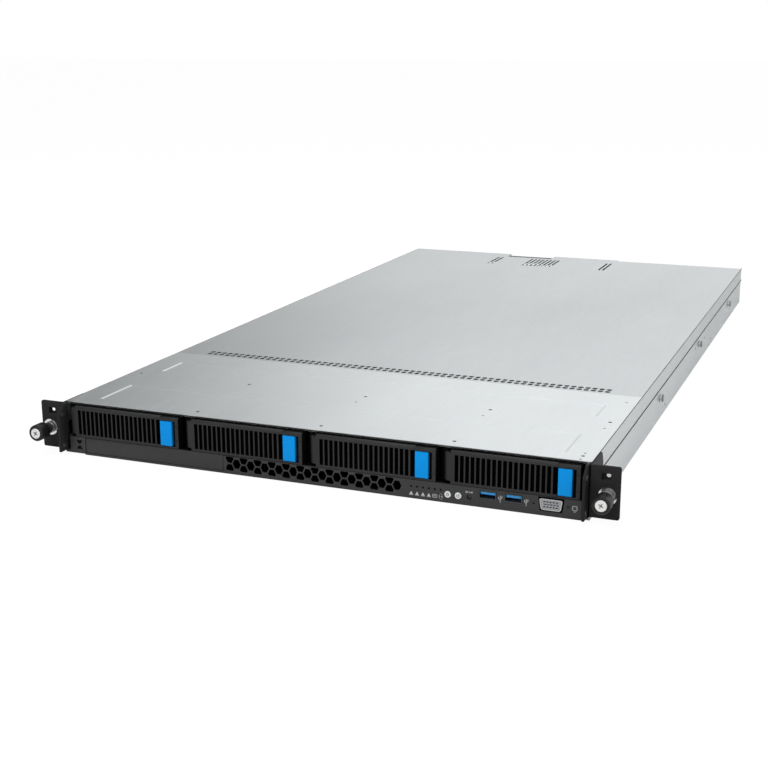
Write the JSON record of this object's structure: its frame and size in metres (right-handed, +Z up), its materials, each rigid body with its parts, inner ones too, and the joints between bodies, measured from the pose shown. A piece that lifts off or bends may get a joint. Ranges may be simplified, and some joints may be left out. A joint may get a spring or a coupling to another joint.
{
  "type": "rack server",
  "caption": "Low rack server: steel case with two-part lid, black rack ears with thumbscrews, front drive trays with swing levers, fans, boards, rear supplies.",
  "frame": {"origin": "middle of the case's underside, halfway along and across the case", "axes": "+X towards the right of the front, +Y from front to rear, +Z up out of the lid"},
  "size_m": [0.4826, 0.8827, 0.043],
  "materials": {
    "case_steel": "galvanised steel sheet, satin",
    "ear_steel": "black paint, satin, bright at the edges",
    "collar_metal": "nickel plated, bright",
    "thumbscrew_metal": "black knurled grip over a steel core",
    "bezel_plastic": "fine matte",
    "front_black": "black paint, fine matte",
    "tray_metal": "dark satin",
    "lever_plastic": "fine matte",
    "latch_blue": "satin, coloured through",
    "drive_metal": "cast and machined",
    "socket_plastic": "fine matte grey",
    "shell_metal": "tin plated, bright",
    "socket_shell": "tin plated, dull",
    "tongue_plastic": "smooth",
    "circuit_board": "solder mask over glass fibre",
    "button_plastic": "smooth",
    "fan_plastic": "moulded, fine matte",
    "sink_metal": "plain",
    "supply_metal": "satin sheet over its parts",
    "latch_green": "moulded"
  },
  "bodies": {
    "case": {"chassis_base": "case_steel", "front_cover": "case_steel", "rear_wall": "case_steel", "psu_cage": "case_steel", "left_ear": "ear_steel", "right_ear": "ear_steel", "screw_collars": "collar_metal", "drive_cage": "case_steel", "end_block": "bezel_plastic", "blank_plate": "bezel_plastic", "left_grille": "front_black", "io_panel": "front_black", "vga_socket": "socket_plastic", "usb_shells": "socket_shell", "usb_tongues": "tongue_plastic", "front_board": "circuit_board", "drive_backplane": "circuit_board", "fan_cage": "case_steel", "fan_frames": "fan_plastic", "motherboard": "circuit_board", "memory_modules": "circuit_board", "heat_sinks": "sink_metal", "riser_card": "circuit_board", "slot_covers": "case_steel", "rear_ports": "shell_metal"},
    "lid": {"rear_lid": "case_steel"},
    "left_screw": {"left_thumbscrew": "thumbscrew_metal"},
    "right_screw": {"right_thumbscrew": "thumbscrew_metal"},
    "tray_1": {"drive_tray_1": "tray_metal", "hard_drive_1": "drive_metal"},
    "lever_1": {"tray_lever_1": "lever_plastic"},
    "latch_1": {"drive_latch_1": "latch_blue"},
    "tray_2": {"drive_tray_2": "tray_metal", "hard_drive_2": "drive_metal"},
    "lever_2": {"tray_lever_2": "lever_plastic"},
    "latch_2": {"drive_latch_2": "latch_blue"},
    "tray_3": {"drive_tray_3": "tray_metal", "hard_drive_3": "drive_metal"},
    "lever_3": {"tray_lever_3": "lever_plastic"},
    "latch_3": {"drive_latch_3": "latch_blue"},
    "tray_4": {"drive_tray_4": "tray_metal", "hard_drive_4": "drive_metal"},
    "lever_4": {"tray_lever_4": "lever_plastic"},
    "latch_4": {"drive_latch_4": "latch_blue"},
    "power_key": {"power_button": "button_plastic"},
    "locate_key": {"locate_button": "button_plastic"},
    "reset_key": {"reset_button": "bezel_plastic"},
    "rotor_1": {"fan_rotor_1": "fan_plastic"},
    "rotor_2": {"fan_rotor_2": "fan_plastic"},
    "rotor_3": {"fan_rotor_3": "fan_plastic"},
    "rotor_4": {"fan_rotor_4": "fan_plastic"},
    "rotor_5": {"fan_rotor_5": "fan_plastic"},
    "rotor_6": {"fan_rotor_6": "fan_plastic"},
    "rotor_7": {"fan_rotor_7": "fan_plastic"},
    "supply_1": {"power_supply_1": "supply_metal"},
    "supply_latch_1": {"psu_latch_1": "latch_green"},
    "supply_rotor_1": {"psu_rotor_1": "fan_plastic"},
    "supply_2": {"power_supply_2": "supply_metal"},
    "supply_latch_2": {"psu_latch_2": "latch_green"},
    "supply_rotor_2": {"psu_rotor_2": "fan_plastic"}
  },
  "joints": [
    {"name": "lid_lift", "type": "slide", "parent": "case", "child": "lid", "axis": [0, 0, 1], "range_m": [0, 0.08]},
    {"name": "left_screw_turn", "type": "hinge", "parent": "case", "child": "left_screw", "pos_m": [-0.23255, -0.42925, 0.0209], "axis": [0, 1, 0], "continuous": true},
    {"name": "right_screw_turn", "type": "hinge", "parent": "case", "child": "right_screw", "pos_m": [0.23255, -0.42925, 0.0209], "axis": [0, 1, 0], "continuous": true},
    {"name": "tray_1_slide", "type": "slide", "parent": "case", "child": "tray_1", "axis": [0, -1, 0], "range_m": [0, 0.17]},
    {"name": "lever_1_swing", "type": "hinge", "parent": "tray_1", "child": "lever_1", "pos_m": [-0.2083, -0.41685, 0.02815], "axis": [0, 0, -1], "range_deg": [0, 55]},
    {"name": "latch_1_slide", "type": "slide", "parent": "tray_1", "child": "latch_1", "axis": [1, 0, 0], "range_m": [0, 0.0013], "stiffness_N_per_m": 300},
    {"name": "tray_2_slide", "type": "slide", "parent": "case", "child": "tray_2", "axis": [0, -1, 0], "range_m": [0, 0.17]},
    {"name": "lever_2_swing", "type": "hinge", "parent": "tray_2", "child": "lever_2", "pos_m": [-0.1001, -0.41685, 0.02815], "axis": [0, 0, -1], "range_deg": [0, 55]},
    {"name": "latch_2_slide", "type": "slide", "parent": "tray_2", "child": "latch_2", "axis": [1, 0, 0], "range_m": [0, 0.0013], "stiffness_N_per_m": 300},
    {"name": "tray_3_slide", "type": "slide", "parent": "case", "child": "tray_3", "axis": [0, -1, 0], "range_m": [0, 0.17]},
    {"name": "lever_3_swing", "type": "hinge", "parent": "tray_3", "child": "lever_3", "pos_m": [0.0081, -0.41685, 0.02815], "axis": [0, 0, -1], "range_deg": [0, 55]},
    {"name": "latch_3_slide", "type": "slide", "parent": "tray_3", "child": "latch_3", "axis": [1, 0, 0], "range_m": [0, 0.0013], "stiffness_N_per_m": 300},
    {"name": "tray_4_slide", "type": "slide", "parent": "case", "child": "tray_4", "axis": [0, -1, 0], "range_m": [0, 0.17]},
    {"name": "lever_4_swing", "type": "hinge", "parent": "tray_4", "child": "lever_4", "pos_m": [0.1163, -0.41685, 0.02815], "axis": [0, 0, -1], "range_deg": [0, 55]},
    {"name": "latch_4_slide", "type": "slide", "parent": "tray_4", "child": "latch_4", "axis": [1, 0, 0], "range_m": [0, 0.0013], "stiffness_N_per_m": 300},
    {"name": "power_press", "type": "slide", "parent": "case", "child": "power_key", "axis": [0, 1, 0], "range_m": [0, 0.0008], "stiffness_N_per_m": 300},
    {"name": "locate_press", "type": "slide", "parent": "case", "child": "locate_key", "axis": [0, 1, 0], "range_m": [0, 0.0008], "stiffness_N_per_m": 300},
    {"name": "reset_press", "type": "slide", "parent": "case", "child": "reset_key", "axis": [0, 1, 0], "range_m": [0, 0.0008], "stiffness_N_per_m": 300},
    {"name": "rotor_1_spin", "type": "hinge", "parent": "case", "child": "rotor_1", "pos_m": [-0.18, -0.20375, 0.0217], "axis": [0, 1, 0], "continuous": true},
    {"name": "rotor_2_spin", "type": "hinge", "parent": "case", "child": "rotor_2", "pos_m": [-0.12, -0.20375, 0.0217], "axis": [0, 1, 0], "continuous": true},
    {"name": "rotor_3_spin", "type": "hinge", "parent": "case", "child": "rotor_3", "pos_m": [-0.06, -0.20375, 0.0217], "axis": [0, 1, 0], "continuous": true},
    {"name": "rotor_4_spin", "type": "hinge", "parent": "case", "child": "rotor_4", "pos_m": [0, -0.20375, 0.0217], "axis": [0, 1, 0], "continuous": true},
    {"name": "rotor_5_spin", "type": "hinge", "parent": "case", "child": "rotor_5", "pos_m": [0.06, -0.20375, 0.0217], "axis": [0, 1, 0], "continuous": true},
    {"name": "rotor_6_spin", "type": "hinge", "parent": "case", "child": "rotor_6", "pos_m": [0.12, -0.20375, 0.0217], "axis": [0, 1, 0], "continuous": true},
    {"name": "rotor_7_spin", "type": "hinge", "parent": "case", "child": "rotor_7", "pos_m": [0.18, -0.20375, 0.0217], "axis": [0, 1, 0], "continuous": true},
    {"name": "supply_1_slide", "type": "slide", "parent": "case", "child": "supply_1", "axis": [0, 1, 0], "range_m": [0, 0.19]},
    {"name": "supply_latch_1_press", "type": "hinge", "parent": "supply_1", "child": "supply_latch_1", "pos_m": [0.1206, 0.40565, 0.0125], "axis": [0, 0, 1], "range_deg": [0, 9], "stiffness_Nm_per_rad": 0.2},
    {"name": "supply_rotor_1_spin", "type": "hinge", "parent": "supply_1", "child": "supply_rotor_1", "pos_m": [0.0874, 0.40375, 0.021], "axis": [0, 1, 0], "continuous": true},
    {"name": "supply_2_slide", "type": "slide", "parent": "case", "child": "supply_2", "axis": [0, 1, 0], "range_m": [0, 0.19]},
    {"name": "supply_latch_2_press", "type": "hinge", "parent": "supply_2", "child": "supply_latch_2", "pos_m": [0.1971, 0.40565, 0.0125], "axis": [0, 0, 1], "range_deg": [0, 9], "stiffness_Nm_per_rad": 0.2},
    {"name": "supply_rotor_2_spin", "type": "hinge", "parent": "supply_2", "child": "supply_rotor_2", "pos_m": [0.1639, 0.40375, 0.021], "axis": [0, 1, 0], "continuous": true}
  ]
}
